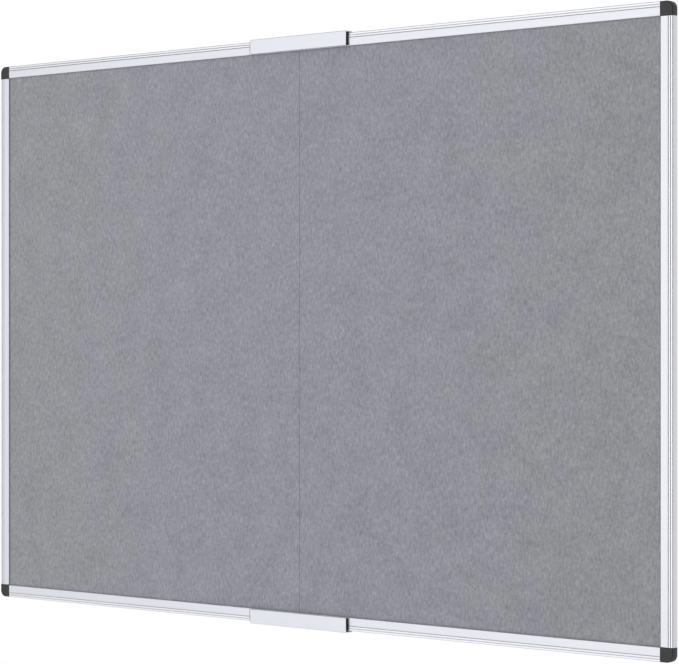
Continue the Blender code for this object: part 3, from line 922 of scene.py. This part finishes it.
@dataclass
class BlindRivet:
    """Blind rivet that stops a sleeve over the seam, with its mandrel's hole in the head.

    Attributes:
        edge: The edge of the board whose rail it is in.
        hole: Radius and depth of the mandrel's hole.
        head_height: Height of its domed head.
        shank_radius: Radius of its shank.
        tail: Radius and length of its swollen tail.
        steps: Faces round it.
        dome_steps: Faces from the hole to the head's rim.
    """

    edge: Edge
    hole: Pair = (0.65 * MM, 0.60 * MM)
    head_height: float = 1.2 * MM
    shank_radius: float = 1.2 * MM
    tail: Pair = (1.9 * MM, 1.8 * MM)
    steps: int = 32
    dome_steps: int = 6

    def profile(self, radius: float, length: float) -> list[Pair]:
        """Outline of the rivet as radius and height, from the hole's floor to the tail's end.

        Args:
            radius: Radius of its head.
            length: Its whole length.

        Returns:
            The outline's points.
        """
        hole_radius, hole_depth = self.hole
        start = math.asin(hole_radius / radius)
        dome = []
        for step in range(self.dome_steps + 1):
            angle = start + (math.pi / 2 - start) * step / self.dome_steps
            dome.append((radius * math.sin(angle), self.head_height * (math.cos(angle) - 1)))
        tail_radius, tail_length = self.tail
        swell = -length + tail_length
        return [
            (0, -hole_depth), (hole_radius, -hole_depth), *dome,
            (self.shank_radius, -self.head_height), (self.shank_radius, swell),
            (tail_radius, swell), (tail_radius, -length), (0, -length)]

    def build(self) -> bpy.types.Object:
        """Build the rivet in place of its plain solid.

        Returns:
            The rivet.
        """
        node = f"{self.edge.label}_sleeve_stop_rivet"
        low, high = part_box(node)
        shape = bmesh.new()
        verts = [
            shape.verts.new((place, 0, height))
            for place, height in self.profile((high.x - low.x) / 2, high.y - low.y)]
        edges = [shape.edges.new(pair) for pair in zip(verts, verts[1:])]
        bmesh.ops.spin(
            shape, geom=[*verts, *edges], cent=(0, 0, 0), axis=(0, 0, 1), dvec=(0, 0, 0),
            angle=math.tau, steps=self.steps, use_merge=True)
        bmesh.ops.remove_doubles(shape, verts=shape.verts, dist=MERGE_DISTANCE)
        face_back(shape, low, high)
        rivet = new_piece(f"{self.edge.label}_sleeve_blind_rivet", shape)
        return dress(rivet, ZINC_PLATED_STEEL, "zinc_plated_steel", Side.LEFT.body, node)


@dataclass
class Studio:
    """Plain white studio: a pale floor, two soft lamps and a camera where the photo's was.

    Attributes:
        camera_place: Where the camera stands, level with the board's middle.
        camera_turn: How far it is turned to its left from facing the wall, in degrees.
        lens: Its focal length in millimetres.
        sensor: Width of its sensor in millimetres.
        clip: Nearest and furthest distance that it sees.
        floor_drop: Height of the board's middle above the floor.
        floor_size: Width of the floor.
        floor_cells: Faces along each of its sides.
        floor_colour: Its colour.
        floor_span: Distances from the board's middle between which it whitens to the camera.
        floor_glow: How much it is whitened at these two distances.
        lamp_size: Width of a lamp.
        key_place: Where the key lamp stands.
        key_power: Its power in watts.
        fill_place: Where the fill lamp stands.
        fill_power: Its power in watts.
        air: Strength of the light that comes from all round.
        mirror_way: The way to the whitest part of the backdrop that metal mirrors.
        mirror_span: Cosines of the angles from that way at which its white begins and is full.
        mirror_glow: Strength of the dark around that part, and of its white.
        behind_span: Shares of a way that lead back, where the white behind begins and is full.
        behind_glow: Strength of the dark in front, and of the white behind.
    """

    camera_place: Point = (3.394, -3.879, -0.0007)
    camera_turn: float = 40.37
    lens: float = 133.67
    sensor: float = 36.0
    clip: Pair = (0.1, 100.0)
    floor_drop: float = 1.30
    floor_size: float = 5.0
    floor_cells: int = 12
    floor_colour: str = "#EFEFEF"
    floor_span: Pair = (1.0, 2.4)
    floor_glow: Pair = (0.35, 1.0)
    lamp_size: float = 3.6
    key_place: Point = (-1.4, -4.1, 0.7)
    key_power: float = 46.0
    fill_place: Point = (3.6, -2.6, 0.7)
    fill_power: float = 6.0
    air: float = 0.70
    mirror_way: Point = (-0.47, -0.88, 0.06)
    mirror_span: Pair = (0.76, 0.98)
    mirror_glow: Pair = (0.06, 1.34)
    behind_span: Pair = (0.3, 0.8)
    behind_glow: Pair = (0.06, 0.90)

    def add_camera(self) -> None:
        """Stand the camera at the photo's viewing angle."""
        data = bpy.data.cameras.new("camera")
        data.lens = self.lens
        data.sensor_width = self.sensor
        data.clip_start, data.clip_end = self.clip
        camera = bpy.data.objects.new("camera", data)
        camera.location = self.camera_place
        camera.rotation_euler = (math.radians(90), 0, math.radians(self.camera_turn))
        bpy.context.scene.collection.objects.link(camera)
        bpy.context.scene.camera = camera

    def add_lamp(self, name: str, place: Point, power: float) -> None:
        """Add a square soft lamp that faces the board's middle and that metal doesn't mirror.

        Args:
            name: The lamp's name.
            place: Where it stands.
            power: Its power in watts.
        """
        data = bpy.data.lights.new(name, "AREA")
        data.shape = "SQUARE"
        data.size = self.lamp_size
        data.energy = power
        lamp = bpy.data.objects.new(name, data)
        lamp.location = place
        lamp.rotation_euler = (-Vector(place)).to_track_quat("-Z", "Y").to_euler()
        lamp.visible_glossy = False
        bpy.context.scene.collection.objects.link(lamp)

    def add_floor(self) -> None:
        """Lay the pale floor, which whitens towards its rim and keeps the board's shadow."""
        shape = bmesh.new()
        bmesh.ops.create_grid(
            shape, x_segments=self.floor_cells, y_segments=self.floor_cells,
            size=self.floor_size / 2)
        bmesh.ops.translate(shape, vec=(0, 0, -self.floor_drop), verts=shape.verts)
        floor = new_piece("studio_floor", shape)
        made = bpy.data.materials.new("pale studio floor")
        made.use_nodes = True
        tree = made.node_tree
        tree.nodes.remove(tree.nodes["Principled BSDF"])
        place = add_node(tree, "ShaderNodeTexCoord", {}).outputs["Object"]
        far = add_node(tree, "ShaderNodeVectorMath", {0: place}, operation="LENGTH")
        white = add_node(
            tree, "ShaderNodeMapRange",
            {"Value": far.outputs["Value"],
             "From Min": self.floor_span[0], "From Max": self.floor_span[1],
             "To Min": self.floor_glow[0], "To Max": self.floor_glow[1]})
        seen = add_node(tree, "ShaderNodeLightPath", {}).outputs["Is Camera Ray"]
        glow = add_node(
            tree, "ShaderNodeMath", {0: white.outputs[0], 1: seen}, operation="MULTIPLY")
        matt = add_node(tree, "ShaderNodeBsdfDiffuse", {"Color": linear(self.floor_colour)})
        shine = add_node(tree, "ShaderNodeEmission", {"Strength": glow.outputs[0]})
        both = add_node(tree, "ShaderNodeAddShader", {0: matt.outputs[0], 1: shine.outputs[0]})
        tree.links.new(both.outputs[0], tree.nodes["Material Output"].inputs["Surface"])
        floor.data.materials.append(made)

    def light_air(self) -> None:
        """Fill the world with white for the camera, a pattern for metal and dimmer light else."""
        world = bpy.data.worlds.new("white studio")
        bpy.context.scene.world = world
        world.use_nodes = True
        tree = world.node_tree
        rays = add_node(tree, "ShaderNodeLightPath", {}).outputs
        way = add_node(tree, "ShaderNodeTexCoord", {}).outputs["Generated"]
        back = add_node(tree, "ShaderNodeSeparateXYZ", {0: way}).outputs["Y"]
        nearness = add_node(
            tree, "ShaderNodeVectorMath", {0: way, 1: self.mirror_way}, operation="DOT_PRODUCT")
        white = add_node(
            tree, "ShaderNodeMapRange",
            {"Value": nearness.outputs["Value"],
             "From Min": self.mirror_span[0], "From Max": self.mirror_span[1],
             "To Min": self.mirror_glow[0], "To Max": self.mirror_glow[1]})
        behind = add_node(
            tree, "ShaderNodeMapRange",
            {"Value": back,
             "From Min": self.behind_span[0], "From Max": self.behind_span[1],
             "To Min": self.behind_glow[0], "To Max": self.behind_glow[1]})
        mirrored = add_node(
            tree, "ShaderNodeMath", {0: white.outputs[0], 1: behind.outputs[0]},
            operation="MAXIMUM").outputs[0]
        strength = add_node(
            tree, "ShaderNodeMix",
            {0: rays["Is Glossy Ray"], 2: self.air, 3: mirrored}).outputs[0]
        for kind in ("Is Transmission Ray", "Is Camera Ray"):
            strength = add_node(
                tree, "ShaderNodeMix", {0: rays[kind], 2: strength, 3: 1.0}).outputs[0]
        sky = tree.nodes["Background"]
        sky.inputs["Color"].default_value = (1.0, 1.0, 1.0, 1.0)
        tree.links.new(strength, sky.inputs["Strength"])

    def build(self) -> None:
        """Set up the camera, the lamps, the floor and the air."""
        bpy.context.scene.view_settings.view_transform = "Standard"
        self.add_camera()
        self.add_lamp("key lamp", self.key_place, self.key_power)
        self.add_lamp("fill lamp", self.fill_place, self.fill_power)
        self.add_floor()
        self.light_air()


def repaint_half(side: Side) -> None:
    """Finish the nodes of one half that keep their shape.

    Args:
        side: The half.
    """
    along_x, along_z = (frame_aluminium(grain) for grain in (Grain.ALONG_X, Grain.ALONG_Z))
    repaint(f"{side.label}_stile", along_z)
    repaint(f"{side.label}_seam_batten", PLANED_PINE)
    repaint(f"{side.label}_core_board", PRESSED_FIBRE_BOARD)
    repaint(f"{side.label}_backing_sheet", CALENDERED_BACKING)
    for edge in Edge:
        repaint(f"{side.label}_{edge.label}_rail", along_x)
        repaint(f"{side.label}_{edge.corner}_corner_block", MOULDED_ABS)


def finish_sleeves() -> None:
    """Finish the sleeves and their glides, and add their stop rivets."""
    for edge in Edge:
        repaint(f"{edge.label}_joint_sleeve", anodised_aluminium(Grain.ALONG_X))
        for side in Side:
            repaint(f"{edge.label}_sleeve_{side.label}_glide", MOULDED_ABS)
        BlindRivet(edge).build()


def finish_hinges() -> None:
    """Finish the hinges' leaves and pins, and add their screws."""
    for hinge in HINGES:
        repaint(f"hinge_{hinge}_pin", ZINC_PLATED_STEEL)
        for side in Side:
            repaint(f"hinge_{hinge}_{side.label}_leaf", ZINC_PLATED_STEEL)
            for place in LEAF_SCREWS:
                HingeScrew(side, hinge, place).build()


def main() -> None:
    """Build the scene in order."""
    logging.basicConfig(level=logging.INFO, format="%(name)s: %(message)s")
    for side in Side:
        FeltPanel(side).build()
        repaint_half(side)
        for edge in Edge:
            CornerCap(side, edge).build()
    finish_sleeves()
    finish_hinges()
    Studio().build()


if __name__ == "__main__":
    main()
